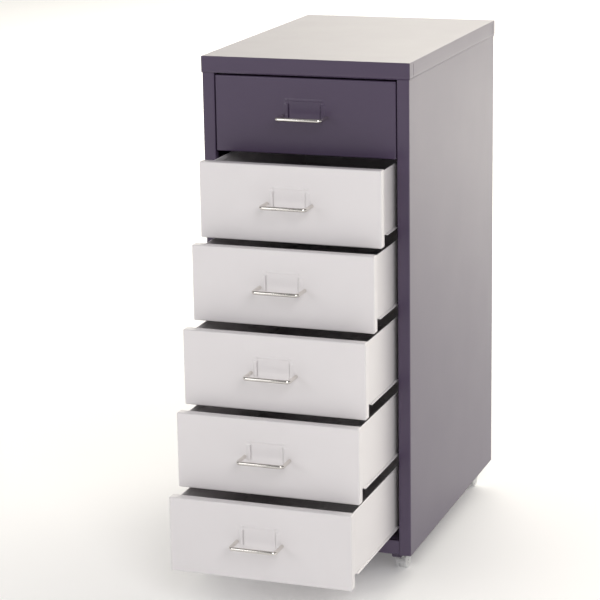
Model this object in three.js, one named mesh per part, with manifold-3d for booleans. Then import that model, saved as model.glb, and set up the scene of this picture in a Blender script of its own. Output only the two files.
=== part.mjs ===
// A narrow sheet-steel cabinet with six drawers on four twin-wheel castors.
// Millimetres, +Z up. The finished group stands with its lowest point at z = 0 and its origin under
// the middle of its overall box, with the drawers open in a staircase as they are at rest.
// Inside the cabinet group x = 0 is the middle, y = 0 is the front face and z = 0 is the floor.

import * as THREE from "three";
import { mergeVertices } from "three/addons/utils/BufferGeometryUtils.js";
import Module from "manifold-3d";

const wasm = await Module();
wasm.setup();

// ---------------------------------------------------------------- driving dimensions

const HEIGHT = 688; // floor to cap
const CAP_WIDTH = 280;
const CAP_DEPTH = 415.5;
const CAP_SKIRT = 21.4;
const SHEET = 0.8; // steel sheet thickness
const CAP_CLEARANCE = 0.3; // between the cap's skirt and the body
const GAP = 0.3; // between neighbouring pieces that touch on the real cabinet
const OVERCUT = 1; // how far a cut or a join runs past the faces it meets
const WELD_DISTANCE = 1e-4; // vertices nearer than this are one
const BODY_LIFT = 34.3; // floor to the body's bottom edge

const OPENING_WIDTH = 245.4; // between the side panels' front flanges
const RETURN_DEPTH = 10; // lip behind each front flange
const REAR_FLANGE = 12;
const TRAY_HEIGHT = 19.3; // bottom panel: skirt and floor
const TRAY_LIFT = 0.4; // bottom panel's skirt ends this far above the side panels
const TRAY_SETBACK = 1.1; // bottom panel's front skirt behind the front flanges

const DRAWERS = 6;
const DRAWER_PITCH = 101.5;
const TOP_DRAWER_TOP = 664;
const FRONT_WIDTH = 242.7;
const FRONT_HEIGHT = 99;
const FRONT_RETURN = 12; // depth of the front pan
const DRAWER_OPEN = [0, 62, 94, 131, 160, 193]; // how far each drawer stands out, from the top

const TUB_WIDTH = 232;
const TUB_BACK = 391; // rear of a closed tub
const TUB_LIFT = 10.7; // tub floor above the front's lower edge
const TUB_RIM_DROP = 5; // tub rim below the front's upper edge
const FOOT_WIDTH = 3.2; // slide foot, outwards from the tub's side
const FOOT_START = 32; // slide foot behind the front's face
const RUNNER_FRONT = 14;
const RUNNER_BACK = 405;
const RUNNER_SIDE_GAP = 0.7; // runner's edges to the tub's side
const RUNNER_SLOT = 1.4; // height of the slot that the foot slides in

const HANDLE_WIDTH = 65; // outer width of the bow
const HANDLE_REACH = 29; // front's face to the outside of the bar
const HANDLE_ROD = 5;
const HANDLE_BEND = 5.5; // bend radius on the rod's centreline
const HANDLE_DROP = 49.5; // bar below the front's upper edge
const HANDLE_SIDES = 8;
const HANDLE_STEPS = 40;

const CASTOR_X = 114.5;
const CASTOR_FRONT_Y = 38;
const CASTOR_REAR_Y = 380;
const CASTOR_TRAIL = 8; // swivel axis to wheel axis
const WHEEL_RADIUS = 10.5;
const WHEEL_INNER = 3.3; // wheel's inner face from the castor's middle
const WHEEL_OUTER = 7.3;
const WHEEL_CHAMFER = 0.8;
const WEB_HALF = 3; // half the thickness of the hood's middle web
const HOOD_INNER = 10.9; // inside radius of the fender
const HOOD_OUTER = 12.2;
const FENDER_DROP = 1; // the fender's ends below the wheel axis
const HOOD_TOP = 23.2;
const HOOD_HEAD_RADIUS = 5.5;
const WEB_RADIUS = 9.8;
const AXLE_RADIUS = 1.4;
const STEM_RADIUS = 2;
const STEM_HEAD_RADIUS = 4;
const STEM_HEAD_HEIGHT = 3;
const STEM_DEPTH = 7; // how far the stem reaches down into the hood
const BORE_CLEARANCE = 0.35;
const MOUNT_WIDTH = 14; // long cup that holds the stem
const MOUNT_OUTER = 22.5; // swivel axis to the cup's end, towards the cabinet's nearer end
const MOUNT_INNER = 11; // swivel axis to the cup's other end
const MOUNT_WALL = 1.2;
const MOUNT_BOTTOM = 24;
const ROUND_SIDES = 24;

// ---------------------------------------------------------------- values worked out from them

const BODY_HALF = CAP_WIDTH / 2 - SHEET - CAP_CLEARANCE;
const CAP_OVERHANG = SHEET + CAP_CLEARANCE;
const BODY_DEPTH = CAP_DEPTH - 2 * CAP_OVERHANG;
const BODY_TOP = HEIGHT - SHEET - GAP;
const WALL_INSIDE = BODY_HALF - SHEET;
const TRAY_TOP = BODY_LIFT + TRAY_HEIGHT;
const FRONT_MOST = -DRAWER_OPEN[DRAWERS - 1] - HANDLE_REACH;
const REAR_MOST = BODY_DEPTH + CAP_OVERHANG;

// ---------------------------------------------------------------- materials

function finish(color, roughness, metalness) {
  return new THREE.MeshStandardMaterial({ color, roughness, metalness });
}

const bodyPaint = () => finish(0x564d60, 0.3, 0.1);
const whitePaint = () => finish(0xe2dedf, 0.3, 0.1);
const nickel = () => finish(0xc9c6c2, 0.2, 1);
const zincSteel = () => finish(0x9fa1a3, 0.4, 1);
const greyPlastic = () => finish(0xb4b5b6, 0.35, 0);

// ---------------------------------------------------------------- solids

function solid(geometry) {
  const bare = geometry.clone();
  bare.deleteAttribute("normal");
  bare.deleteAttribute("uv");
  const merged = mergeVertices(bare, WELD_DISTANCE);
  return new wasm.Manifold(
    new wasm.Mesh({
      numProp: 3,
      vertProperties: merged.attributes.position.array,
      triVerts: new Uint32Array(merged.index.array),
    }),
  );
}

function geometryOf(manifold) {
  const made = manifold.getMesh();
  const geometry = new THREE.BufferGeometry();
  geometry.setAttribute("position", new THREE.BufferAttribute(new Float32Array(made.vertProperties), 3));
  geometry.setIndex(new THREE.BufferAttribute(new Uint32Array(made.triVerts), 1));
  const flat = geometry.toNonIndexed();
  flat.computeVertexNormals();
  return flat;
}

// A box between two opposite corners.
function block([x0, y0, z0], [x1, y1, z1]) {
  const box = new THREE.BoxGeometry(x1 - x0, y1 - y0, z1 - z0);
  box.translate((x0 + x1) / 2, (y0 + y1) / 2, (z0 + z1) / 2);
  return solid(box);
}

// A round bar along X, between two x values, about the axis through (y, z).
function barAlongX(radius, x0, x1, y, z) {
  const bar = new THREE.CylinderGeometry(radius, radius, x1 - x0, ROUND_SIDES);
  bar.rotateZ(Math.PI / 2);
  bar.translate((x0 + x1) / 2, y, z);
  return solid(bar);
}

// An upright round bar about the z axis.
function barUpright(radius, z0, z1) {
  const bar = new THREE.CylinderGeometry(radius, radius, z1 - z0, ROUND_SIDES);
  bar.rotateX(Math.PI / 2);
  bar.translate(0, 0, (z0 + z1) / 2);
  return solid(bar);
}

function addPiece(parent, name, shape, material) {
  const geometry = shape instanceof THREE.BufferGeometry ? shape : geometryOf(shape);
  const mesh = new THREE.Mesh(geometry, material);
  mesh.name = name;
  parent.add(mesh);
  return mesh;
}

// ---------------------------------------------------------------- cabinet panels

function topPanel() {
  const half = CAP_WIDTH / 2;
  const outer = block([-half, -CAP_OVERHANG, HEIGHT - CAP_SKIRT], [half, REAR_MOST, HEIGHT]);
  const inner = block(
    [-half + SHEET, -CAP_OVERHANG + SHEET, HEIGHT - CAP_SKIRT - OVERCUT],
    [half - SHEET, REAR_MOST - SHEET, HEIGHT - SHEET],
  );
  return outer.subtract(inner);
}

// The wall, front flange, return lip and rear flange are one bent sheet, extruded upwards.
function sidePanel(side) {
  const lip = OPENING_WIDTH / 2;
  const outline = [
    [BODY_HALF, 0],
    [BODY_HALF, BODY_DEPTH],
    [BODY_HALF - REAR_FLANGE, BODY_DEPTH],
    [BODY_HALF - REAR_FLANGE, BODY_DEPTH - SHEET],
    [WALL_INSIDE, BODY_DEPTH - SHEET],
    [WALL_INSIDE, SHEET],
    [lip + SHEET, SHEET],
    [lip + SHEET, RETURN_DEPTH],
    [lip, RETURN_DEPTH],
    [lip, 0],
  ];
  const shape = new THREE.Shape(outline.map(([x, y]) => new THREE.Vector2(side * x, y)));
  const panel = new THREE.ExtrudeGeometry(shape, { depth: BODY_TOP - BODY_LIFT, bevelEnabled: false });
  panel.translate(0, 0, BODY_LIFT);
  return panel;
}

function backPanel() {
  const outside = BODY_DEPTH - SHEET - GAP;
  return block(
    [-WALL_INSIDE + GAP, outside - SHEET, BODY_LIFT],
    [WALL_INSIDE - GAP, outside, BODY_TOP],
  );
}

// The tray is narrower between the return lips of the side panels. inset shrinks it for the hollow.
function trayBlock(inset, z0, z1) {
  const backEdge = BODY_DEPTH - 2 * (SHEET + GAP) - inset;
  const wide = WALL_INSIDE - GAP - inset;
  const narrow = OPENING_WIDTH / 2 - GAP - inset;
  const shoulder = RETURN_DEPTH + GAP + inset;
  const main = block([-wide, shoulder, z0], [wide, backEdge, z1]);
  return main.add(block([-narrow, TRAY_SETBACK + inset, z0], [narrow, shoulder + OVERCUT, z1]));
}

function bottomPanel() {
  const outer = trayBlock(0, BODY_LIFT + TRAY_LIFT, TRAY_TOP);
  return outer.subtract(trayBlock(SHEET, BODY_LIFT - OVERCUT, TRAY_TOP - SHEET));
}

// ---------------------------------------------------------------- drawers and runners

const drawerTop = (index) => TOP_DRAWER_TOP - index * DRAWER_PITCH;
const tubFloor = (index) => drawerTop(index) - FRONT_HEIGHT + TUB_LIFT;

// A C channel lying on its side, its mouth towards the drawer.
function runner(side, index) {
  const base = tubFloor(index) - GAP - SHEET;
  const top = base + 2 * SHEET + RUNNER_SLOT;
  const mouth = TUB_WIDTH / 2 + RUNNER_SIDE_GAP;
  const web = WALL_INSIDE - GAP;
  const outline = [
    [web, base],
    [web, top],
    [mouth, top],
    [mouth, top - SHEET],
    [web - SHEET, top - SHEET],
    [web - SHEET, base + SHEET],
    [mouth, base + SHEET],
    [mouth, base],
  ];
  const shape = new THREE.Shape(outline.map(([x, z]) => new THREE.Vector2(side * x, z)));
  const channel = new THREE.ExtrudeGeometry(shape, {
    depth: RUNNER_BACK - RUNNER_FRONT,
    bevelEnabled: false,
  });
  channel.rotateX(Math.PI / 2);
  channel.translate(0, RUNNER_BACK, 0);
  return channel;
}

// The drawer pieces are made in a closed drawer's place, with z = 0 at the front's lower edge.
function drawerFront() {
  const half = FRONT_WIDTH / 2;
  const outer = block([-half, 0, 0], [half, FRONT_RETURN, FRONT_HEIGHT]);
  const inner = block(
    [-half + SHEET, SHEET, SHEET],
    [half - SHEET, FRONT_RETURN + OVERCUT, FRONT_HEIGHT - SHEET],
  );
  return outer.subtract(inner);
}

function drawerTub() {
  const half = TUB_WIDTH / 2;
  const near = SHEET + GAP;
  const rim = FRONT_HEIGHT - TUB_RIM_DROP;
  const outer = block([-half, near, TUB_LIFT], [half, TUB_BACK, rim]);
  const inner = block(
    [-half + SHEET, near + SHEET, TUB_LIFT + SHEET],
    [half - SHEET, TUB_BACK - SHEET, rim + OVERCUT],
  );
  const foot = half + FOOT_WIDTH;
  const feet = block([-foot, FOOT_START, TUB_LIFT], [foot, TUB_BACK, TUB_LIFT + SHEET]);
  return outer.add(feet).subtract(inner);
}

function drawerHandle() {
  const radius = HANDLE_ROD / 2;
  const half = HANDLE_WIDTH / 2 - radius;
  const reach = HANDLE_REACH - radius;
  const z = FRONT_HEIGHT - HANDLE_DROP;
  const at = (x, y) => new THREE.Vector3(x, y, z);
  const path = new THREE.CurvePath();
  path.add(new THREE.LineCurve3(at(-half, -GAP), at(-half, HANDLE_BEND - reach)));
  path.add(
    new THREE.QuadraticBezierCurve3(
      at(-half, HANDLE_BEND - reach),
      at(-half, -reach),
      at(HANDLE_BEND - half, -reach),
    ),
  );
  path.add(new THREE.LineCurve3(at(HANDLE_BEND - half, -reach), at(half - HANDLE_BEND, -reach)));
  path.add(
    new THREE.QuadraticBezierCurve3(
      at(half - HANDLE_BEND, -reach),
      at(half, -reach),
      at(half, HANDLE_BEND - reach),
    ),
  );
  path.add(new THREE.LineCurve3(at(half, HANDLE_BEND - reach), at(half, -GAP)));
  const cornerRadius = radius / Math.cos(Math.PI / HANDLE_SIDES); // the flats touch the round rod
  const corners = [];
  for (let i = 0; i < HANDLE_SIDES; i += 1) {
    const angle = ((i + 0.5) * 2 * Math.PI) / HANDLE_SIDES;
    corners.push(new THREE.Vector2(cornerRadius * Math.cos(angle), cornerRadius * Math.sin(angle)));
  }
  return new THREE.ExtrudeGeometry(new THREE.Shape(corners), { steps: HANDLE_STEPS, extrudePath: path });
}

function addDrawer(parent, index) {
  const paintOf = index === 0 ? bodyPaint : whitePaint;
  const drawer = new THREE.Group();
  drawer.position.set(0, -DRAWER_OPEN[index], drawerTop(index) - FRONT_HEIGHT);
  parent.add(drawer);
  const name = `drawer_${index + 1}`;
  addPiece(drawer, `${name}_front`, drawerFront(), paintOf());
  addPiece(drawer, `${name}_tub`, drawerTub(), paintOf());
  addPiece(drawer, `${name}_handle`, drawerHandle(), nickel());
}

// ---------------------------------------------------------------- castors

// The castor pieces are made about the swivel axis at x = y = 0, with the floor at z = 0.
// facing is -1 for a front castor and 1 for a rear one.
function castorMount(facing) {
  const half = MOUNT_WIDTH / 2;
  const top = TRAY_TOP - SHEET - GAP;
  const [near, far] = facing < 0 ? [-MOUNT_OUTER, MOUNT_INNER] : [-MOUNT_INNER, MOUNT_OUTER];
  const outer = block([-half, near, MOUNT_BOTTOM], [half, far, top]);
  const inside = half - MOUNT_WALL;
  const floor = MOUNT_BOTTOM + MOUNT_WALL;
  const hollow = block(
    [-inside, near + MOUNT_WALL, floor],
    [inside, far - MOUNT_WALL, top + OVERCUT],
  );
  const hole = barUpright(STEM_RADIUS + BORE_CLEARANCE, MOUNT_BOTTOM - OVERCUT, floor + OVERCUT);
  return outer.subtract(hollow).subtract(hole);
}

function castorStem() {
  const headBottom = MOUNT_BOTTOM + MOUNT_WALL + GAP;
  const headTop = headBottom + STEM_HEAD_HEIGHT;
  const shankBottom = HOOD_TOP - STEM_DEPTH;
  return barUpright(STEM_RADIUS, shankBottom, headTop).add(
    barUpright(STEM_HEAD_RADIUS, headBottom, headTop),
  );
}

function castorHood() {
  const hub = [CASTOR_TRAIL, WHEEL_RADIUS];
  const keep = block(
    [-HOOD_OUTER, -HOOD_OUTER, WHEEL_RADIUS - FENDER_DROP],
    [HOOD_OUTER, CASTOR_TRAIL + 2 * HOOD_OUTER, HOOD_TOP],
  );
  const fender = barAlongX(HOOD_OUTER, -WHEEL_OUTER, WHEEL_OUTER, ...hub).intersect(keep);
  const web = barAlongX(WEB_RADIUS, -WEB_HALF, WEB_HALF, ...hub);
  const head = barUpright(HOOD_HEAD_RADIUS, WHEEL_RADIUS, HOOD_TOP);
  let hood = fender.add(web).add(head);
  for (const side of [-1, 1]) {
    const from = side > 0 ? WEB_HALF : -2 * WHEEL_OUTER;
    const to = side > 0 ? 2 * WHEEL_OUTER : -WEB_HALF;
    hood = hood.subtract(barAlongX(HOOD_INNER, from, to, ...hub));
  }
  const stemBoreBottom = HOOD_TOP - STEM_DEPTH - GAP;
  const stemBore = barUpright(STEM_RADIUS + BORE_CLEARANCE, stemBoreBottom, HOOD_TOP + OVERCUT);
  const axleBore = barAlongX(AXLE_RADIUS + BORE_CLEARANCE, -WHEEL_OUTER, WHEEL_OUTER, ...hub);
  return hood.subtract(stemBore).subtract(axleBore);
}

function castorAxle() {
  return barAlongX(AXLE_RADIUS, -WHEEL_OUTER, WHEEL_OUTER, CASTOR_TRAIL, WHEEL_RADIUS);
}

function castorWheel(side) {
  const bore = AXLE_RADIUS + BORE_CLEARANCE;
  const rim = WHEEL_RADIUS - WHEEL_CHAMFER;
  const profile = [
    [bore, WHEEL_INNER],
    [rim, WHEEL_INNER],
    [WHEEL_RADIUS, WHEEL_INNER + WHEEL_CHAMFER],
    [WHEEL_RADIUS, WHEEL_OUTER - WHEEL_CHAMFER],
    [rim, WHEEL_OUTER],
    [bore, WHEEL_OUTER],
    [bore, WHEEL_INNER],
  ];
  const points = profile.map(([r, x]) => new THREE.Vector2(r, x));
  const wheel = new THREE.LatheGeometry(points, ROUND_SIDES);
  wheel.rotateZ((-side * Math.PI) / 2);
  wheel.translate(0, CASTOR_TRAIL, WHEEL_RADIUS);
  return wheel;
}

function addCastor(parent, name, x, y) {
  const facing = y < BODY_DEPTH / 2 ? -1 : 1;
  const castor = new THREE.Group();
  castor.position.set(x, y, 0);
  parent.add(castor);
  addPiece(castor, `${name}_castor_mount`, castorMount(facing), bodyPaint());
  addPiece(castor, `${name}_castor_stem`, castorStem(), zincSteel());
  addPiece(castor, `${name}_castor_hood`, castorHood(), greyPlastic());
  addPiece(castor, `${name}_castor_axle`, castorAxle(), zincSteel());
  addPiece(castor, `${name}_castor_wheel_left`, castorWheel(-1), greyPlastic());
  addPiece(castor, `${name}_castor_wheel_right`, castorWheel(1), greyPlastic());
}

// ---------------------------------------------------------------- assembly

const cabinet = new THREE.Group();
cabinet.position.y = -(FRONT_MOST + REAR_MOST) / 2;

addPiece(cabinet, "top_panel", topPanel(), bodyPaint());
addPiece(cabinet, "left_side_panel", sidePanel(-1), bodyPaint());
addPiece(cabinet, "right_side_panel", sidePanel(1), bodyPaint());
addPiece(cabinet, "back_panel", backPanel(), bodyPaint());
addPiece(cabinet, "bottom_panel", bottomPanel(), bodyPaint());

for (let index = 0; index < DRAWERS; index += 1) {
  addPiece(cabinet, `left_runner_${index + 1}`, runner(-1, index), bodyPaint());
  addPiece(cabinet, `right_runner_${index + 1}`, runner(1, index), bodyPaint());
  addDrawer(cabinet, index);
}

addCastor(cabinet, "front_left", -CASTOR_X, CASTOR_FRONT_Y);
addCastor(cabinet, "front_right", CASTOR_X, CASTOR_FRONT_Y);
addCastor(cabinet, "rear_left", -CASTOR_X, CASTOR_REAR_Y);
addCastor(cabinet, "rear_right", CASTOR_X, CASTOR_REAR_Y);

const chest = new THREE.Group();
chest.add(cabinet);

export default chest;
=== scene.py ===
"""Looks for a narrow sheet-steel chest of drawers on castors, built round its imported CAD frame.

Pieces take their places and overall sizes from the frame's boxes, and the sizes of small details
are written here in millimetres, times MM. The camera, the floor and the lights are in metres.
"""

import math

import bmesh
import bpy
from mathutils import Matrix, Vector


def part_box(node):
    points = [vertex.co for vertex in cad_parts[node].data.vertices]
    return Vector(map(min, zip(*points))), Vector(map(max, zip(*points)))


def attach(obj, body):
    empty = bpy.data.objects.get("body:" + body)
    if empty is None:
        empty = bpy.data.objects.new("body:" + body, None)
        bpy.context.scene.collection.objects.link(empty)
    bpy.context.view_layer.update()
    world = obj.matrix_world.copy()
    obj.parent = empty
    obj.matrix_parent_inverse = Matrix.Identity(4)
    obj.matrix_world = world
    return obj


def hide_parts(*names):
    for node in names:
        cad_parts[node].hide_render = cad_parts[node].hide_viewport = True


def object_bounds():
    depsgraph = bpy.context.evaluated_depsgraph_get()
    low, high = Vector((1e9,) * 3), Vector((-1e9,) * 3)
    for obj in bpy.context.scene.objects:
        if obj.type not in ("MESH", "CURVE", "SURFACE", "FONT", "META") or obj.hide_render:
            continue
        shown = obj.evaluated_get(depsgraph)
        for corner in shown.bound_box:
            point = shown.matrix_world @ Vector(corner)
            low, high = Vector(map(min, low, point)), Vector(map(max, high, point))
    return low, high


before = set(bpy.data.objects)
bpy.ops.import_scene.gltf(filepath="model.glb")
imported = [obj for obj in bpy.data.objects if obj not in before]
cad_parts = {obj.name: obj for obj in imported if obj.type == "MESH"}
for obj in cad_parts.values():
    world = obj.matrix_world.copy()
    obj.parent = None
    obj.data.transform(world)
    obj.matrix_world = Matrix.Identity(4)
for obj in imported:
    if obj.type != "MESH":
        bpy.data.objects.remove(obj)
CAD_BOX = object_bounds()

MM = 0.001
SHEET = 0.8 * MM
DRAWERS = range(1, 7)
SIDES = {"left": -1, "right": 1}
CORNERS = ("front_left", "front_right", "rear_left", "rear_right")
RIGHTWARDS = Vector((1, 0, 0))
BACKWARDS = Vector((0, 1, 0))
UPWARDS = Vector((0, 0, 1))


# ---------------------------------------------------------------- camera

AZIMUTH, ELEVATION, ROLL = 19.816, 14.682, -0.963  # degrees
DISTANCE = 2.980
AIM_FROM_CENTRE = Vector((-40.4, -12.6, 5.6)) * MM
LENS, SENSOR_WIDTH = 133.2, 36.0  # millimetres of the camera itself


def add_camera():
    """Looks at a point near the middle of the CAD box, with a slight roll."""
    az, el, roll = (math.radians(v) for v in (AZIMUTH, ELEVATION, ROLL))
    forward = Vector((-math.sin(az) * math.cos(el), math.cos(az) * math.cos(el), -math.sin(el)))
    level = Vector((math.cos(az), math.sin(az), 0))
    right = level * math.cos(roll) + level.cross(forward) * math.sin(roll)
    up = right.cross(forward)
    target = (CAD_BOX[0] + CAD_BOX[1]) / 2 + AIM_FROM_CENTRE
    data = bpy.data.cameras.new("camera")
    data.lens = LENS
    data.sensor_width = SENSOR_WIDTH
    data.clip_start, data.clip_end = 0.05, 60
    camera = bpy.data.objects.new("camera", data)
    turn = Matrix((right, up, -forward)).transposed().to_4x4()
    camera.matrix_world = Matrix.Translation(target - forward * DISTANCE) @ turn
    bpy.context.scene.collection.objects.link(camera)
    bpy.context.scene.camera = camera


# ---------------------------------------------------------------- node helpers


class Nodes:
    """A node tree with short calls for making and linking nodes."""

    def __init__(self, tree):
        self.tree = tree

    def add(self, kind, **settings):
        node = self.tree.nodes.new(kind)
        for name, value in settings.items():
            setattr(node, name, value)
        return node

    def link(self, source, target):
        self.tree.links.new(source, target)

    def noise(self, where, scale, detail, roughness=0.5):
        node = self.add("ShaderNodeTexNoise")
        node.inputs["Scale"].default_value = scale
        node.inputs["Detail"].default_value = detail
        node.inputs["Roughness"].default_value = roughness
        self.link(where, node.inputs["Vector"])
        return node.outputs["Fac"]

    def spread(self, value, low, high, out_low=0.0, out_high=1.0):
        """Maps low to high onto out_low to out_high, clamped at both ends."""
        node = self.add("ShaderNodeMapRange")
        names = ("From Min", "From Max", "To Min", "To Max")
        for name, number in zip(names, (low, high, out_low, out_high)):
            node.inputs[name].default_value = number
        self.link(value, node.inputs["Value"])
        return node.outputs["Result"]

    def multiply(self, a, b):
        node = self.add("ShaderNodeMath", operation="MULTIPLY")
        self.link(a, node.inputs[0])
        self.link(b, node.inputs[1])
        return node.outputs[0]

    def blend(self, amount, a, b):
        """Goes from a to b, each a colour or the output of another node."""
        node = self.add("ShaderNodeMix", data_type="RGBA")
        self.link(amount, node.inputs["Factor"])
        for socket, value in zip((node.inputs[6], node.inputs[7]), (a, b)):
            if isinstance(value, tuple):
                socket.default_value = (*value, 1)
            else:
                self.link(value, socket)
        return node.outputs[2]

    def bump(self, height, strength, distance, normal=None):
        node = self.add("ShaderNodeBump")
        node.inputs["Strength"].default_value = strength
        node.inputs["Distance"].default_value = distance
        self.link(height, node.inputs["Height"])
        if normal is not None:
            self.link(normal, node.inputs["Normal"])
        return node.outputs["Normal"]


def new_material(name):
    """A material with its nodes, its shader and the object's own coordinates in metres."""
    material = bpy.data.materials.new(name)
    material.use_nodes = True
    nodes = Nodes(material.node_tree)
    shader = material.node_tree.nodes["Principled BSDF"]
    where = nodes.add("ShaderNodeTexCoord").outputs["Object"]
    return material, nodes, shader, where


# ---------------------------------------------------------------- materials


def paint(name, colour, worn, roughness):
    """Gloss powder coat: faint orange peel, slow waves, a slight mottle and thin, worn edges."""
    material, nodes, shader, where = new_material(name)
    cloud = nodes.noise(where, scale=9.0, detail=4.0)
    mottled = tuple(c * 0.97 for c in colour)
    base = nodes.blend(nodes.spread(cloud, 0.3, 0.7), mottled, colour)
    pointed = nodes.add("ShaderNodeNewGeometry").outputs["Pointiness"]
    broken = nodes.noise(where, scale=260.0, detail=2.0)
    edge = nodes.multiply(nodes.spread(pointed, 0.55, 0.68), nodes.spread(broken, 0.5, 0.72))
    nodes.link(nodes.blend(edge, base, worn), shader.inputs["Base Color"])

    uneven = nodes.noise(where, scale=14.0, detail=3.0)
    gloss = nodes.spread(uneven, 0.3, 0.7, roughness * 0.97, roughness * 1.03)
    nodes.link(gloss, shader.inputs["Roughness"])

    slow = nodes.noise(where, scale=5.0, detail=0.0)
    waves = nodes.bump(slow, strength=0.004, distance=0.002)
    fine = nodes.noise(where, scale=620.0, detail=2.0)
    peel = nodes.bump(fine, strength=0.03, distance=0.0003, normal=waves)
    nodes.link(peel, shader.inputs["Normal"])
    shader.inputs["IOR"].default_value = 1.52
    return material


def bright_metal(name, colour, roughness, grain):
    """Plated metal with fine polishing lines and slight haze."""
    material, nodes, shader, where = new_material(name)
    stretch = nodes.add("ShaderNodeMapping")
    stretch.inputs["Scale"].default_value = (1.0, 9.0, 9.0)
    nodes.link(where, stretch.inputs["Vector"])
    streaks = nodes.noise(stretch.outputs["Vector"], scale=grain, detail=4.0, roughness=0.6)
    haze = nodes.noise(where, scale=55.0, detail=4.0)
    dull = tuple(c * 0.86 for c in colour)
    tone = nodes.blend(nodes.spread(haze, 0.35, 0.7), colour, dull)
    nodes.link(tone, shader.inputs["Base Color"])
    gloss = nodes.spread(streaks, 0.3, 0.7, roughness * 0.7, roughness * 1.5)
    nodes.link(gloss, shader.inputs["Roughness"])
    relief = nodes.bump(streaks, strength=0.05, distance=0.0002)
    nodes.link(relief, shader.inputs["Normal"])
    shader.inputs["Metallic"].default_value = 1.0
    return material


def clear_grey_plastic(name, colour, roughness):
    """Moulded nylon that lets a little light through, with fine scuffs in patches."""
    material, nodes, shader, where = new_material(name)
    cloud = nodes.noise(where, scale=120.0, detail=4.0)
    scuff = nodes.noise(where, scale=900.0, detail=3.0, roughness=0.7)
    dusty = tuple(c * 0.78 for c in colour)
    amount = nodes.multiply(nodes.spread(cloud, 0.4, 0.75), nodes.spread(scuff, 0.4, 0.6))
    nodes.link(nodes.blend(amount, colour, dusty), shader.inputs["Base Color"])
    gloss = nodes.spread(scuff, 0.3, 0.7, roughness * 0.8, roughness * 1.5)
    nodes.link(gloss, shader.inputs["Roughness"])
    relief = nodes.bump(scuff, strength=0.12, distance=0.0002)
    nodes.link(relief, shader.inputs["Normal"])
    shader.inputs["Transmission Weight"].default_value = 0.12
    shader.inputs["Subsurface Weight"].default_value = 0.5
    shader.inputs["Subsurface Scale"].default_value = 0.004
    shader.inputs["Subsurface Radius"].default_value = (1.0, 1.0, 1.0)
    shader.inputs["IOR"].default_value = 1.5
    return material


def pale_floor(name):
    """A matt white studio floor that glows a little, so that it stays pale away from the lights."""
    material, nodes, shader, where = new_material(name)
    cloud = nodes.noise(where, scale=1.5, detail=3.0)
    tone = nodes.blend(cloud, (0.86, 0.86, 0.86), (0.88, 0.88, 0.88))
    nodes.link(tone, shader.inputs["Base Color"])
    shader.inputs["Roughness"].default_value = 0.9
    shader.inputs["Emission Color"].default_value = (1.0, 0.985, 0.96, 1)
    shader.inputs["Emission Strength"].default_value = 0.12
    shader.inputs["Specular IOR Level"].default_value = 0.1
    return material


PURPLE = paint("purple_grey_paint", (0.071, 0.050, 0.094), (0.16, 0.14, 0.18), roughness=0.30)
WHITE = paint("white_paint", (0.785, 0.76, 0.768), (0.66, 0.65, 0.65), roughness=0.32)
NICKEL = bright_metal("bright_nickel", (0.82, 0.79, 0.75), roughness=0.10, grain=700.0)
ZINC = bright_metal("zinc_plate", (0.58, 0.59, 0.61), roughness=0.32, grain=500.0)
PLASTIC = clear_grey_plastic("grey_nylon", (0.80, 0.805, 0.81), roughness=0.28)


# ---------------------------------------------------------------- mesh helpers


SMOOTH_ANGLE = math.radians(40)
BEND_STEPS = 6
GUARD = 1.5 * MM


def add_piece(name, mesh_data, material, body, stands_for=()):
    """Links a mesh as a named piece that rides on a body and takes the material it is given."""
    piece = bpy.data.objects.new(name, mesh_data)
    bpy.context.scene.collection.objects.link(piece)
    mesh_data.materials.append(material)
    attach(piece, body)
    if stands_for:
        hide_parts(*stands_for)
    return piece


def finish_mesh(name, bm, outward=None):
    """Turns a bmesh into mesh data, smooth except at its sharp edges.

    outward is needed for an open sheet, and is the way that its first face looks.
    """
    bmesh.ops.recalc_face_normals(bm, faces=bm.faces)
    if outward is not None:
        bm.faces.ensure_lookup_table()
        if bm.faces[0].normal.dot(outward) < 0:
            bmesh.ops.reverse_faces(bm, faces=bm.faces)
    for face in bm.faces:
        face.smooth = True
    for edge in bm.edges:
        edge.smooth = edge.calc_face_angle(0.0) < SMOOTH_ANGLE
    data = bpy.data.meshes.new(name)
    bm.to_mesh(data)
    bm.free()
    return data


def thicken(piece, thickness=SHEET):
    """Gives an open sheet its thickness, inwards from its outer face."""
    solid = piece.modifiers.new("thickness", "SOLIDIFY")
    solid.thickness = thickness
    solid.offset = -1


def soften(node, width):
    """Rounds the sharp edges of a CAD node that shows."""
    bevel = node.modifiers.new("edges", "BEVEL")
    bevel.width = width
    bevel.segments = 2
    bevel.limit_method = "ANGLE"
    bevel.angle_limit = math.radians(35)


def lines(*stretches):
    """Rising grid lines from stretches of (start, end, steps), each line once."""
    made = []
    for start, end, steps in stretches:
        for i in range(steps + 1):
            value = start + (end - start) * i / steps
            if not made or value > made[-1] + 1e-7:
                made.append(value)
    return made


def mirrored(values):
    """The values and their negatives, sorted."""
    return sorted({round(v, 7) for v in values} | {round(-v, 7) for v in values})


def ramp(value, start, end):
    """0 before start, 1 after end and a smooth rise between them."""
    t = min(1.0, max(0.0, (value - start) / (end - start)))
    return t * t * (3 - 2 * t)


def guarded(values):
    """The values with one more close beside each end of every long step.

    The paint's worn edges are placed by how pointed the mesh is, and the short steps keep them
    from spreading over flat sheet. Values are numbers or Vectors.
    """
    made = [values[0]]
    for a, b in zip(values, values[1:]):
        step = b - a
        length = step.length if isinstance(step, Vector) else abs(step)
        if length > 3 * GUARD:
            made += [a + step * (GUARD / length), b - step * (GUARD / length)]
        made.append(b)
    return made


def offsets(direction, length, steps):
    """Vectors along a direction in equal steps, from no length to the full length."""
    return [direction * (length * k / steps) for k in range(steps + 1)]


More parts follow.
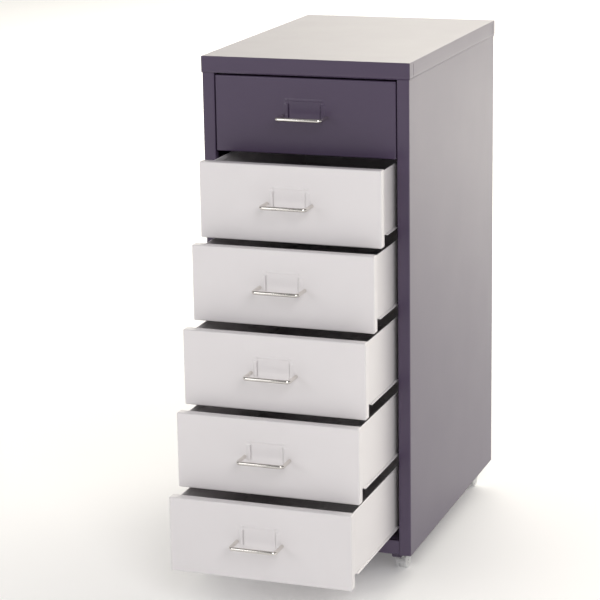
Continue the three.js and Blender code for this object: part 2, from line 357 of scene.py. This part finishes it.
def bend_arc(bend):
    """Points (run, depth) through a right-angle bend of sheet, from its start on the flat."""
    turns = [math.pi / 2 * step / BEND_STEPS for step in range(BEND_STEPS + 1)]
    return [(bend * math.sin(turned), bend * (1 - math.cos(turned))) for turned in turns]


def pan_mesh(name, us, vs, bend, walls, place, lift=None, hole=None, slit=None):
    """An open-backed pan of bent sheet: a flat panel whose four sides fold back.

    us and vs are the flat panel's grid lines, so the bend of the given radius lies outside them.
    walls lists (outward offset beyond the flat panel, depth) from the end of the bend onwards.
    place(u, v, depth) gives a point, lift(u, v) raises the panel and hole(u, v) leaves a face out.
    slit(side, along, depth) leaves out a face of a side wall, for side in "-v", "+u", "+v", "-u".
    """
    us, vs = guarded(us), guarded(vs)
    bm = bmesh.new()
    grid = {}
    for i, u in enumerate(us):
        for j, v in enumerate(vs):
            raised = lift(u, v) if lift else 0.0
            grid[i, j] = bm.verts.new(place(u, v, -raised))
    last_u, last_v = len(us) - 1, len(vs) - 1
    for i in range(last_u):
        for j in range(last_v):
            middle = ((us[i] + us[i + 1]) / 2, (vs[j] + vs[j + 1]) / 2)
            if hole and hole(*middle):
                continue
            bm.faces.new((grid[i, j], grid[i + 1, j], grid[i + 1, j + 1], grid[i, j + 1]))

    # the way round the panel: point, direction outwards, grid corner and side name
    way = []
    sides = (
        ("-v", [(i, 0) for i in range(last_u + 1)], -90),
        ("+u", [(last_u, j) for j in range(last_v + 1)], 0),
        ("+v", [(i, last_v) for i in range(last_u, -1, -1)], 90),
        ("-u", [(0, j) for j in range(last_v, -1, -1)], 180),
    )
    for side, keys, angle in sides:
        for key in keys:
            point = Vector((us[key[0]], vs[key[1]]))
            way.append((point, math.radians(angle), key, side))
        for step in range(1, BEND_STEPS):
            turned = math.radians(angle + 90 * step / BEND_STEPS)
            way.append((point, turned, keys[-1], "corner"))

    profile = guarded([Vector(point) for point in bend_arc(bend)[1:] + walls])
    rings = [[grid[key] for _, _, key, _ in way]]
    for offset, depth in profile:
        ring = []
        for point, angle, _, _ in way:
            out = point + Vector((math.cos(angle), math.sin(angle))) * offset
            ring.append(bm.verts.new(place(out.x, out.y, depth)))
        rings.append(ring)
    depths = [0.0] + [depth for _, depth in profile]
    count = len(way)
    for level in range(len(rings) - 1):
        inner, outer = rings[level], rings[level + 1]
        for k in range(count):
            n = (k + 1) % count
            side = way[k][3]
            if slit and side == way[n][3] != "corner":
                along = (way[k][0] + way[n][0]) / 2
                value = along.x if side in ("-v", "+v") else along.y
                if slit(side, value, (depths[level] + depths[level + 1]) / 2):
                    continue
            corners = [inner[k], outer[k], outer[n], inner[n]]
            if inner[k] is inner[n]:
                corners.pop()
            bm.faces.new(corners)
    return finish_mesh(name, bm, place(0, 0, -1) - place(0, 0, 0))


def rounded_path(points, radius, steps=6):
    """A path of straight stretches through Vectors, with each inner corner rounded."""
    path = [points[0]]
    for before, corner, after in zip(points, points[1:], points[2:]):
        to_before = (before - corner).normalized()
        to_after = (after - corner).normalized()
        half = to_before.angle(to_after) / 2
        reach = radius / math.tan(half)
        centre = corner + (to_before + to_after).normalized() * (radius / math.sin(half))
        start = corner + to_before * reach - centre
        end = corner + to_after * reach - centre
        sweep = math.pi - 2 * half
        for i in range(steps + 1):
            turned = sweep * i / steps
            arc = start * math.sin(sweep - turned) + end * math.sin(turned)
            path.append(centre + arc / math.sin(sweep))
    path.append(points[-1])
    return path


def divided(points, span):
    """The points with every step longer than span cut into equal steps."""
    made = [points[0]]
    for a, b in zip(points, points[1:]):
        steps = max(1, math.ceil((b - a).length / span))
        made += [a.lerp(b, (k + 1) / steps) for k in range(steps)]
    return made


def strip_mesh(name, points, bend, along, outward, shape=None):
    """A bent strip: a rounded path swept straight. along lists the offsets it is swept through.

    shape(point) moves a point of the swept strip a little.
    """
    path = guarded(rounded_path(points, bend))
    if shape:
        path = divided(path, 30 * MM)
    bm = bmesh.new()
    rows = []
    for shift in guarded(along):
        swept = [p + shift for p in path]
        rows.append([bm.verts.new(shape(p) if shape else p) for p in swept])
    for row, following in zip(rows, rows[1:]):
        for a, b, c, d in zip(row, row[1:], following[1:], following):
            bm.faces.new((a, b, c, d))
    return finish_mesh(name, bm, outward)


def add_tube(bm, path, radius, sides, cap_round=0.0):
    """A round bar along a path, its ends closed and their rims softened by cap_round."""
    runs = [(b - a).normalized() for a, b in zip(path, path[1:])]
    between = [(a + b).normalized() for a, b in zip(runs, runs[1:])]
    tangents = [runs[0]] + between + [runs[-1]]
    stations = [(p, t, radius) for p, t in zip(path, tangents)]
    if cap_round:
        first, last = stations[0], stations[-1]
        stations[0] = (first[0] + first[1] * cap_round, first[1], radius)
        stations.insert(0, (first[0], first[1], radius - cap_round))
        stations[-1] = (last[0] - last[1] * cap_round, last[1], radius)
        stations.append((last[0], last[1], radius - cap_round))
    turns = [2 * math.pi * k / sides for k in range(sides)]
    side = tangents[0].orthogonal().normalized()
    rings = []
    for point, tangent, reach in stations:
        side = (side - tangent * side.dot(tangent)).normalized()
        other = tangent.cross(side)
        around = [side * math.cos(turned) + other * math.sin(turned) for turned in turns]
        rings.append([bm.verts.new(point + out * reach) for out in around])
    for ring, following in zip(rings, rings[1:]):
        for k in range(sides):
            n = (k + 1) % sides
            bm.faces.new((ring[k], ring[n], following[n], following[k]))
    bm.faces.new(rings[0])
    bm.faces.new(rings[-1])


def add_turned(bm, outline, origin, axis, sides=32, start=0.0, sweep=2 * math.pi):
    """A turned solid: outline is a closed ring of (radius, along) points, axis its direction.

    With a sweep under a full turn the two cut ends are closed flat. Points on the axis are shared.
    """
    axis = axis.normalized()
    across = UPWARDS if abs(axis.z) < 0.9 else RIGHTWARDS
    across = (across - axis * across.dot(axis)).normalized()
    other = axis.cross(across)
    full = sweep > 2 * math.pi - 1e-6
    steps = max(3, round(sides * sweep / (2 * math.pi)))
    on_axis = {}
    for i, (radius, along) in enumerate(outline):
        if radius < 1e-9:
            on_axis[i] = bm.verts.new(origin + axis * along)
    rings = []
    for k in range(steps if full else steps + 1):
        angle = start + sweep * k / steps
        out = across * math.cos(angle) + other * math.sin(angle)
        ring = []
        for i, (radius, along) in enumerate(outline):
            ring.append(on_axis.get(i) or bm.verts.new(origin + out * radius + axis * along))
        rings.append(ring)
    count = len(outline)
    for ring, following in zip(rings, rings[1:] + ([rings[0]] if full else [])):
        for i in range(count):
            n = (i + 1) % count
            corners = [ring[i], ring[n], following[n], following[i]]
            kept = [v for j, v in enumerate(corners) if v not in corners[:j]]
            if len(kept) > 2:
                bm.faces.new(kept)
    if not full:
        bm.faces.new(rings[0])
        bm.faces.new(rings[-1])


def rounded_outline(corners, radius):
    """A closed outline of (radius, along) corners, rounded except where it meets the axis."""
    made = []
    count, steps = len(corners), 4
    for i, corner in enumerate(corners):
        point = Vector(corner)
        before = Vector(corners[i - 1]) - point
        after = Vector(corners[(i + 1) % count]) - point
        if point.x < 1e-9:
            made.append(tuple(point))
            continue
        reach = min(radius, before.length * 0.45, after.length * 0.45)
        start, end = point + before.normalized() * reach, point + after.normalized() * reach
        for step in range(steps + 1):
            t = step / steps
            made.append(tuple(start * (1 - t) ** 2 + point * 2 * t * (1 - t) + end * t * t))
    return made


def ring_outline(inner, outer, low, high, radius):
    """The rounded outline of a plain ring, between two radii and two places along its axis."""
    return rounded_outline([(inner, low), (outer, low), (outer, high), (inner, high)], radius)


# ---------------------------------------------------------------- cabinet panels

BEND = 1.2 * MM
FRONT_LIP = 10 * MM  # the return of each side panel behind its front flange
GAP = 0.3 * MM  # between sheets that touch on the real cabinet


def add_top_panel():
    """The cap: a tray turned over, with a fine seam near each end of its side skirts."""
    low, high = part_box("top_panel")
    skirt = high.z - low.z
    slit_from_end, slit_width = 15.8 * MM, 0.35 * MM
    slit_top, slit_bottom = 2.4 * MM, skirt - 3.8 * MM
    centre = (low + high) / 2
    half_x = (high.x - low.x) / 2 - BEND
    half_y = (high.y - low.y) / 2 - BEND
    slit_at = (high.y - low.y) / 2 - slit_from_end
    us = lines((-half_x, half_x, 14))
    vs = mirrored(lines((0, slit_at - slit_width / 2, 10)) + [slit_at + slit_width / 2, half_y])

    def place(u, v, depth):
        return Vector((centre.x + u, centre.y + v, high.z - depth))

    def slit(side, along, depth):
        at_slit = abs(abs(along) - slit_at) < slit_width / 2
        return side in ("+u", "-u") and at_slit and slit_top < depth < slit_bottom

    walls = [(BEND, slit_top), (BEND, slit_bottom), (BEND, skirt)]
    data = pan_mesh("cap", us, vs, BEND, walls, place, slit=slit)
    thicken(add_piece("cap", data, PURPLE, "cabinet", ("top_panel",)))


def add_side_panel(side):
    """One sheet with a rear flange, a front flange and the lip behind it, bowed a little outwards."""
    name = f"{side}_side_panel"
    low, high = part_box(name)
    sign = SIDES[side]
    outside, inside = (high.x, low.x) if sign > 0 else (low.x, high.x)
    rear_flange = 12 * MM
    corners = [
        (outside - sign * rear_flange, high.y),
        (outside, high.y),
        (outside, low.y),
        (inside, low.y),
        (inside, low.y + FRONT_LIP),
    ]
    points = [Vector((x, y, low.z)) for x, y in corners]
    height = high.z - low.z
    bow = 0.95 * MM

    def bowed(point):
        if abs(point.x - outside) > 0.01 * MM:
            return point
        back = (point.y - low.y) / (high.y - low.y)
        up = (point.z - low.z) / height
        rise = 4 * back * (1 - back) * min(1.0, 6 * up * (1 - up))
        return point + RIGHTWARDS * (sign * bow * rise)

    data = strip_mesh(name, points, BEND, offsets(UPWARDS, height, 16), BACKWARDS, bowed)
    thicken(add_piece(f"{side}_side", data, PURPLE, "cabinet", (name,)))


def add_back_panel():
    """A flat sheet with two long upright beads pressed into it."""
    low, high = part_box("back_panel")
    centre = (low + high) / 2
    half_x, half_z = (high.x - low.x) / 2, (high.z - low.z) / 2
    bead_at, bead_end = 62 * MM, half_z - 60 * MM
    bead_flat, bead_half, bead_depth = 1.5 * MM, 7 * MM, 1.8 * MM
    fine = [bead_at + bead_half * k / 5 for k in range(-5, 6)]
    us = guarded(mirrored([0, 20 * MM, 40 * MM, 85 * MM, 110 * MM, half_x] + fine))
    ends = [bead_end + bead_half * k / 4 for k in range(-4, 5)]
    vs = guarded(mirrored(lines((0, ends[0], 8)) + ends + [half_z - 25 * MM, half_z]))

    def pressed(u, v):
        across = 1 - ramp(abs(abs(u) - bead_at), bead_flat, bead_half)
        length = 1 - ramp(abs(v), bead_end - bead_half, bead_end + bead_half)
        return -bead_depth * across * length

    bm = bmesh.new()
    grid = []
    for u in us:
        column = [(centre.x + u, high.y + pressed(u, v), centre.z + v) for v in vs]
        grid.append([bm.verts.new(point) for point in column])
    for column, following in zip(grid, grid[1:]):
        for a, b, c, d in zip(column, column[1:], following[1:], following):
            bm.faces.new((a, b, c, d))
    data = finish_mesh("back", bm, BACKWARDS)
    thicken(add_piece("back", data, PURPLE, "cabinet", ("back_panel",)))


def folded_tray(name, outline, flat_z, fold_z, bend):
    """A flat sheet with an outline of square corners, its edges all folded the same way to fold_z.

    outline runs counter-clockwise in x and y. The bend's outer radius lies inside the outline.
    """
    towards = 1 if fold_z > flat_z else -1
    outline = guarded(outline + outline[:1])[:-1]
    count = len(outline)
    outwards = []
    for k, corner in enumerate(outline):
        before = (corner - outline[k - 1]).normalized()
        after = (outline[(k + 1) % count] - corner).normalized()
        mitre = Vector((before.y + after.y, -before.x - after.x))
        outwards.append(mitre / (1 + before.dot(after)))
    profile = [(-bend - GUARD, flat_z)]
    profile += [(run - bend, flat_z + towards * depth) for run, depth in bend_arc(bend)]
    profile += [(0.0, fold_z - towards * GUARD), (0.0, fold_z)]
    bm = bmesh.new()
    rings = []
    for beyond, z in profile:
        points = [corner + out * beyond for corner, out in zip(outline, outwards)]
        rings.append([bm.verts.new((point.x, point.y, z)) for point in points])
    bm.faces.new(rings[0])
    for ring, following in zip(rings, rings[1:]):
        for k in range(count):
            n = (k + 1) % count
            bm.faces.new((ring[k], ring[n], following[n], following[k]))
    return finish_mesh(name, bm, -towards * UPWARDS)


def add_bottom_tray():
    """The floor of the cabinet, narrower between the front lips of the side panels."""
    low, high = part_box("bottom_panel")
    side_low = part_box("right_side_panel")[0]
    lip_back = side_low.y + FRONT_LIP + GAP
    lip_x = side_low.x - GAP
    corners = [
        (-lip_x, low.y), (lip_x, low.y), (lip_x, lip_back), (high.x, lip_back),
        (high.x, high.y), (low.x, high.y), (low.x, lip_back), (-lip_x, lip_back),
    ]
    data = folded_tray("tray", [Vector(corner) for corner in corners], high.z, low.z, BEND)
    thicken(add_piece("bottom_tray", data, PURPLE, "cabinet", ("bottom_panel",)))


def add_runner(side, number):
    """A C channel for one slide foot, its mouth towards the drawer."""
    name = f"{side}_runner_{number}"
    low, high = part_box(name)
    bend, thickness = 0.9 * MM, 0.78 * MM
    mouth, web = (low.x, high.x) if SIDES[side] > 0 else (high.x, low.x)
    corners = [(mouth, low.z), (web, low.z), (web, high.z), (mouth, high.z)]
    points = [Vector((x, low.y, z)) for x, z in corners]
    along = offsets(BACKWARDS, high.y - low.y, 10)
    data = strip_mesh(name, points, bend, along, -UPWARDS)
    piece = add_piece(f"{side}_slide_{number}", data, PURPLE, "cabinet", (name,))
    thicken(piece, thickness)


def add_castor_cup(corner):
    """The pressed cup under a corner of the tray, its bottom pierced for the castor's stem."""
    name = f"{corner}_castor_mount"
    low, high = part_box(name)
    stem_low, stem_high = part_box(f"{corner}_castor_stem")
    centre = (low + high) / 2
    bend, thickness = 2.0 * MM, 1.2 * MM
    half_x = (high.x - low.x) / 2 - bend
    half_y = (high.y - low.y) / 2 - bend
    pierced = 2.4 * MM
    stem_v = (stem_low.y + stem_high.y) / 2 - centre.y
    us = mirrored([0, pierced, half_x])
    beside_stem = [stem_v - pierced, stem_v, stem_v + pierced]
    vs = sorted([-half_y, -half_y * 2 / 3, half_y * 2 / 3, half_y] + beside_stem)

    def place(u, v, depth):
        return Vector((centre.x + u, centre.y + v, low.z + depth))

    def hole(u, v):
        return abs(u) < pierced and abs(v - stem_v) < pierced

    data = pan_mesh(name, us, vs, bend, [(bend, high.z - low.z)], place, hole=hole)
    piece = add_piece(f"{corner}_castor_cup", data, PURPLE, "cabinet", (name,))
    thicken(piece, thickness)


def add_screw(bm, head_centre, axis, radius, height):
    """A pan-head screw with a round socket in its crown. axis points out of the head."""
    crown, socket = height * 0.55, height * 0.4
    corners = [
        (0, 0), (radius, 0), (radius, crown), (radius * 0.68, height),
        (radius * 0.44, height), (radius * 0.36, socket), (0, socket),
    ]
    add_turned(bm, rounded_outline(corners, height * 0.2), head_centre, axis, sides=24)


def add_back_screws():
    """Screws up both edges of the back panel, into the side panels' rear flanges."""
    low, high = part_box("back_panel")
    flange_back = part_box("left_side_panel")[1].y
    inset = 5.5 * MM
    head_radius, head_height = 3.2 * MM, 1.0 * MM
    bm = bmesh.new()
    for x in (low.x + inset, high.x - inset):
        for part in (0.07, 0.36, 0.64, 0.93):
            head = Vector((x, flange_back, low.z + (high.z - low.z) * part))
            add_screw(bm, head, BACKWARDS, head_radius, head_height)
    add_piece("back_screws", finish_mesh("back_screws", bm), ZINC, "cabinet")


# ---------------------------------------------------------------- drawers

FRONT_BEND = 1.6 * MM
FOOT_WIDTH = 3.2 * MM

# the label holder pressed into a drawer front: across from its middle, down from its upper edge
EAR_INNER, EAR_OUTER = 21.6 * MM, 28.5 * MM
EAR_TOP, EAR_BOTTOM = 32.0 * MM, 54.5 * MM
EAR_HEIGHT = 1.05 * MM
EAR_SLOPE, EAR_END = 4.2 * MM, 3.0 * MM
EAR_CUT = 0.04 * MM
RIDGE_DROP = 28.6 * MM
RIDGE_HEIGHT = 0.55 * MM
RIDGE_CREST, RIDGE_FOOT = 0.3 * MM, 2.2 * MM
RIDGE_FULL, RIDGE_END = 24.0 * MM, 27.5 * MM


def label_relief(u, drop):
    """How far the pressed label holder stands out at u from the middle, drop below the upper edge."""
    across = abs(u)
    ear = 0.0
    if across > EAR_INNER:
        rise = 1 - ramp(across, EAR_OUTER - EAR_SLOPE, EAR_OUTER)
        ends = ramp(drop, EAR_TOP, EAR_TOP + EAR_END)
        ends *= 1 - ramp(drop, EAR_BOTTOM - EAR_END, EAR_BOTTOM)
        ear = EAR_HEIGHT * rise * ends
    ridge_width = 1 - ramp(abs(drop - RIDGE_DROP), RIDGE_CREST, RIDGE_FOOT)
    ridge_length = 1 - ramp(across, RIDGE_FULL, RIDGE_END)
    return max(ear, RIDGE_HEIGHT * ridge_width * ridge_length)


def add_drawer_front(number, material):
    """A shallow pan with the label holder pressed out, its ears cut free along their inner edges."""
    name = f"drawer_{number}_front"
    low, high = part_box(name)
    centre = (low + high) / 2
    half_x = (high.x - low.x) / 2 - FRONT_BEND
    half_z = (high.z - low.z) / 2 - FRONT_BEND
    depth = high.y - low.y
    ear_lines = lines((EAR_INNER, EAR_OUTER + 1 * MM, 11))
    plain = [k * MM for k in (0, 5, 10, 15, 19, 34, 42, 55, 75, 98)]
    us = mirrored(plain + [EAR_INNER - EAR_CUT] + ear_lines + [half_x])
    drops = lines(
        (FRONT_BEND, 24 * MM, 4),
        (25.5 * MM, 31.5 * MM, 12),
        (EAR_TOP, EAR_TOP + 3.5 * MM, 7),
        (37 * MM, 50 * MM, 6),
        (EAR_BOTTOM - 3.5 * MM, EAR_BOTTOM + 0.5 * MM, 8),
        (60 * MM, half_z * 2 + FRONT_BEND, 5),
    )
    vs = sorted(half_z + FRONT_BEND - drop for drop in drops)

    def place(u, v, inwards):
        return Vector((centre.x + u, low.y + inwards, centre.z + v))

    def lift(u, v):
        return label_relief(u, half_z + FRONT_BEND - v)

    def hole(u, v):
        beside_ear = EAR_INNER - EAR_CUT < abs(u) < EAR_INNER
        return beside_ear and lift(EAR_INNER + 0.01 * MM, v) > 0.3 * MM

    walls = [(FRONT_BEND, depth * 0.5), (FRONT_BEND, depth)]
    data = pan_mesh(name, us, vs, FRONT_BEND, walls, place, lift=lift, hole=hole)
    thicken(add_piece(f"drawer_{number}_face", data, material, f"drawer_{number}", (name,)))


def add_drawer_tub(number, material):
    """A folded box with a hemmed rim and a crease along its floor."""
    name = f"drawer_{number}_tub"
    low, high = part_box(name)
    centre = (low + high) / 2
    bend = 1.3 * MM
    half_x = (high.x - low.x) / 2 - FOOT_WIDTH - bend
    half_y = (high.y - low.y) / 2 - bend
    wall = high.z - low.z
    crease_half, crease_depth = 3 * MM, 0.9 * MM
    crease_start, crease_full = 6 * MM, 18 * MM
    crease = [crease_half * k / 4 for k in range(5)]
    us = mirrored(crease + [20 * MM, 60 * MM, half_x])
    vs = lines(
        (-half_y, -half_y + 12 * MM, 3),
        (-half_y + 30 * MM, half_y - 12 * MM, 8),
        (half_y - 6 * MM, half_y, 2),
    )

    def place(u, v, up):
        return Vector((centre.x + u, centre.y + v, low.z + up))

    def pressed(u, v):
        ends = ramp(half_y - abs(v), crease_start, crease_full)
        return -crease_depth * (1 - ramp(abs(u), 0.0, crease_half)) * ends

    # the rim is hemmed: the sheet turns over inwards and runs a little way back down
    turn, hem, turn_steps = SHEET + 0.1 * MM, 5.5 * MM, 8
    top = wall - turn
    walls = [(bend, wall * 0.5), (bend, top)]
    for step in range(1, turn_steps + 1):
        angle = math.pi * step / turn_steps
        walls.append((bend - turn + turn * math.cos(angle), top + turn * math.sin(angle)))
    walls.append((bend - 2 * turn, top - hem))
    data = pan_mesh(name, us, vs, bend, walls, place, lift=pressed)
    thicken(add_piece(f"drawer_{number}_box", data, material, f"drawer_{number}", (name,)))


def add_slide_feet(number, material):
    """A bent strip along each side of the tub, whose foot slides in the runner."""
    low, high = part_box(f"drawer_{number}_tub")
    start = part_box(f"drawer_{number}_front")[0].y + 32 * MM
    leg, overlap = 3.5 * MM, 0.35 * MM
    bend, thickness = 0.8 * MM, 0.75 * MM
    along = offsets(BACKWARDS, high.y - start, 12)
    for side, sign in SIDES.items():
        tip_x = high.x if sign > 0 else low.x
        leg_x = tip_x - sign * (FOOT_WIDTH + overlap)
        corners = [(leg_x, low.z + leg), (leg_x, low.z + SHEET), (tip_x, low.z + SHEET)]
        points = [Vector((x, start, z)) for x, z in corners]
        data = strip_mesh(f"foot_{number}", points, bend, along, sign * RIGHTWARDS)
        piece = add_piece(f"drawer_{number}_{side}_foot", data, material, f"drawer_{number}")
        thicken(piece, thickness)


def add_drawer_handle(number):
    """A bow of bright rod, and the screws and washers that hold it from inside the drawer."""
    name = f"drawer_{number}_handle"
    low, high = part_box(name)
    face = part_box(f"drawer_{number}_front")[0].y
    rod, corner_radius = 2.5 * MM, 5.0 * MM
    z = (low.z + high.z) / 2
    left = (low.x + high.x) / 2 - 30 * MM
    right = (low.x + high.x) / 2 + 30 * MM
    bar_y = face - 26.5 * MM
    seat = face - 0.02 * MM
    corners = [(left, seat), (left, bar_y), (right, bar_y), (right, seat)]
    path = rounded_path([Vector((x, y, z)) for x, y in corners], corner_radius, steps=10)
    bow = bmesh.new()
    add_tube(bow, path, rod, sides=24, cap_round=0.3 * MM)
    add_piece(f"drawer_{number}_bow", finish_mesh(name, bow), NICKEL, f"drawer_{number}", (name,))

    inner_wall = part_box(f"drawer_{number}_tub")[0].y + SHEET
    washer_radius, washer = 4.5 * MM, 0.8 * MM
    head_radius, head_height = 3.6 * MM, 1.9 * MM
    outline = ring_outline(0, washer_radius, 0, washer, 0.2 * MM)
    screws = bmesh.new()
    for x in (left, right):
        add_turned(screws, outline, Vector((x, inner_wall, z)), BACKWARDS, sides=24)
        head = Vector((x, inner_wall + washer, z))
        add_screw(screws, head, BACKWARDS, head_radius, head_height)
    data = finish_mesh("handle_screws", screws)
    add_piece(f"drawer_{number}_handle_screws", data, ZINC, f"drawer_{number}")


# ---------------------------------------------------------------- castors

WHEEL_BORE = 1.75 * MM


def add_castor_wheel(corner, side):
    """A wheel whose outer face has a dished ring, crossed by spokes, between its hub and its rim."""
    node = f"{corner}_castor_wheel_{side}"
    low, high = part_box(node)
    centre = (low + high) / 2
    radius = (high.z - low.z) / 2
    half = (high.x - low.x) / 2
    out = RIGHTWARDS * SIDES[side]
    dish = half - 0.7 * MM
    rim, rim_foot = radius - 2.0 * MM, radius - 2.6 * MM
    hub, hub_foot = 3.4 * MM, 3.9 * MM
    corners = [
        (WHEEL_BORE, -half), (radius, -half), (radius, half), (rim, half),
        (rim_foot, dish), (hub_foot, dish), (hub, half), (WHEEL_BORE, half),
    ]
    bm = bmesh.new()
    add_turned(bm, rounded_outline(corners, 0.55 * MM), centre, out, sides=48)
    spokes, spoke_radius, sunk = 6, 0.45 * MM, 0.3 * MM
    for k in range(spokes):
        turned = 2 * math.pi * k / spokes
        arm = Vector((0, math.cos(turned), math.sin(turned)))
        start = centre + out * dish + arm * (hub_foot - sunk)
        end = centre + out * dish + arm * (rim_foot + sunk)
        add_tube(bm, [start, end], spoke_radius, sides=10)
    body = f"{corner}_castor_{side}_wheel"
    add_piece(f"{corner}_castor_{side}_tyre", finish_mesh(node, bm), PLASTIC, body, (node,))


def add_castor_hood(corner):
    """The moulded frame: a fender over the wheels, a web between them and a neck round the stem."""
    node = f"{corner}_castor_hood"
    low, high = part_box(node)
    wheel_low, wheel_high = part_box(f"{corner}_castor_wheel_left")
    hub = (wheel_low + wheel_high) / 2
    hub.x = (low.x + high.x) / 2
    stem_low, stem_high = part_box(f"{corner}_castor_stem")
    stem = (stem_low + stem_high) / 2
    half = (high.x - low.x) / 2
    bm = bmesh.new()

    fender_inner, fender_outer = 10.95 * MM, 12.2 * MM
    fender = ring_outline(fender_inner, fender_outer, -half, half, 0.45 * MM)
    reach = math.radians(95)  # each way from the top
    add_turned(bm, fender, hub, RIGHTWARDS, sides=72, start=-reach, sweep=2 * reach)

    web_radius, web_half = 9.6 * MM, 2.9 * MM
    web = ring_outline(WHEEL_BORE, web_radius, -web_half, web_half, 0.4 * MM)
    add_turned(bm, web, hub, RIGHTWARDS, sides=48)

    stem_hole, neck_radius, collar_radius = 2.35 * MM, 2.9 * MM, 5.4 * MM
    neck_end, collar_start, neck_height = 5.2 * MM, 6.6 * MM, 8.2 * MM
    neck = [
        (stem_hole, 0), (neck_radius, 0), (neck_radius, neck_end),
        (collar_radius, collar_start), (collar_radius, neck_height), (stem_hole, neck_height),
    ]
    foot = Vector((stem.x, stem.y, high.z - neck_height))
    add_turned(bm, rounded_outline(neck, 0.35 * MM), foot, UPWARDS)
    add_piece(f"{corner}_castor_frame", finish_mesh(node, bm), PLASTIC, f"{corner}_castor", (node,))


# ---------------------------------------------------------------- CAD nodes that show


def dress_cad_nodes():
    """Gives the castors' stems and axles, which still show, their material and softened edges."""
    for name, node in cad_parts.items():
        if "stem" in name or "axle" in name:
            node.data.materials.clear()
            node.data.materials.append(ZINC)
            soften(node, 0.25 * MM)


# ---------------------------------------------------------------- light and floor


def add_floor():
    """A wide square of floor, far larger than the camera sees."""
    half, steps = 7.0, 8
    ticks = [-half + 2 * half * k / steps for k in range(steps + 1)]
    bm = bmesh.new()
    rows = [[bm.verts.new((x, y, 0)) for x in ticks] for y in ticks]
    for row, following in zip(rows, rows[1:]):
        for a, b, c, d in zip(row, row[1:], following[1:], following):
            bm.faces.new((a, b, c, d))
    data = bpy.data.meshes.new("floor")
    bm.to_mesh(data)
    bm.free()
    data.materials.append(pale_floor("floor_paint"))
    floor = bpy.data.objects.new("floor", data)
    bpy.context.scene.collection.objects.link(floor)


def add_area_light(name, place, target, size, power, colour):
    """A rectangular light at a place, turned to face its target."""
    data = bpy.data.lights.new(name, "AREA")
    data.shape = "RECTANGLE"
    data.size, data.size_y = size
    data.energy = power
    data.color = colour
    light = bpy.data.objects.new(name, data)
    light.location = place
    light.rotation_euler = (target - place).to_track_quat("-Z", "Y").to_euler()
    bpy.context.scene.collection.objects.link(light)


FRONT_GLOW, BACK_GLOW = 0.28, 1.72
GLOW_START, GLOW_FULL = 0.25, 0.90  # how far a direction leans backwards, out of 1
WARM_WHITE = (1.0, 0.962, 0.87)
PLAIN_WHITE = (1.0, 0.985, 0.99)


def add_world():
    """A white studio, bright and slightly warm behind the object and dim in front of it."""
    world = bpy.data.worlds.new("studio")
    world.use_nodes = True
    bpy.context.scene.world = world
    nodes = Nodes(world.node_tree)
    direction = nodes.add("ShaderNodeTexCoord").outputs["Generated"]
    parts = nodes.add("ShaderNodeSeparateXYZ")
    nodes.link(direction, parts.inputs[0])
    behind = nodes.spread(parts.outputs["Y"], GLOW_START, GLOW_FULL)
    background = world.node_tree.nodes["Background"]
    nodes.link(nodes.blend(behind, PLAIN_WHITE, WARM_WHITE), background.inputs["Color"])
    nodes.link(nodes.spread(behind, 0.0, 1.0, FRONT_GLOW, BACK_GLOW), background.inputs["Strength"])


def add_lights():
    """Two softboxes in front of the object, and a large light over the floor behind it."""
    middle = Vector((0, 0, 0.36))
    left = Vector((-1.8, -2.6, 1.4))
    right = Vector((1.6, -2.6, 2.0))
    above_backdrop = Vector((0.8, 3.9, 2.6))
    below = Vector((0.8, 3.9, 0))
    add_area_light("left_softbox", left, middle, (1.8, 1.6), 20, PLAIN_WHITE)
    add_area_light("right_softbox", right, middle, (1.4, 1.4), 36, PLAIN_WHITE)
    add_area_light("backdrop_light", above_backdrop, below, (5.0, 3.7), 260, WARM_WHITE)


# ---------------------------------------------------------------- the whole scene

add_camera()
add_floor()
add_world()
add_lights()
bpy.context.scene.view_settings.view_transform = "Standard"

add_top_panel()
for side_name in SIDES:
    add_side_panel(side_name)
add_back_panel()
add_back_screws()
add_bottom_tray()

for drawer in DRAWERS:
    finish_paint = PURPLE if drawer == 1 else WHITE
    add_drawer_front(drawer, finish_paint)
    add_drawer_tub(drawer, finish_paint)
    add_slide_feet(drawer, finish_paint)
    add_drawer_handle(drawer)
    for side_name in SIDES:
        add_runner(side_name, drawer)

for corner_name in CORNERS:
    add_castor_cup(corner_name)
    add_castor_hood(corner_name)
    for side_name in SIDES:
        add_castor_wheel(corner_name, side_name)

dress_cad_nodes()
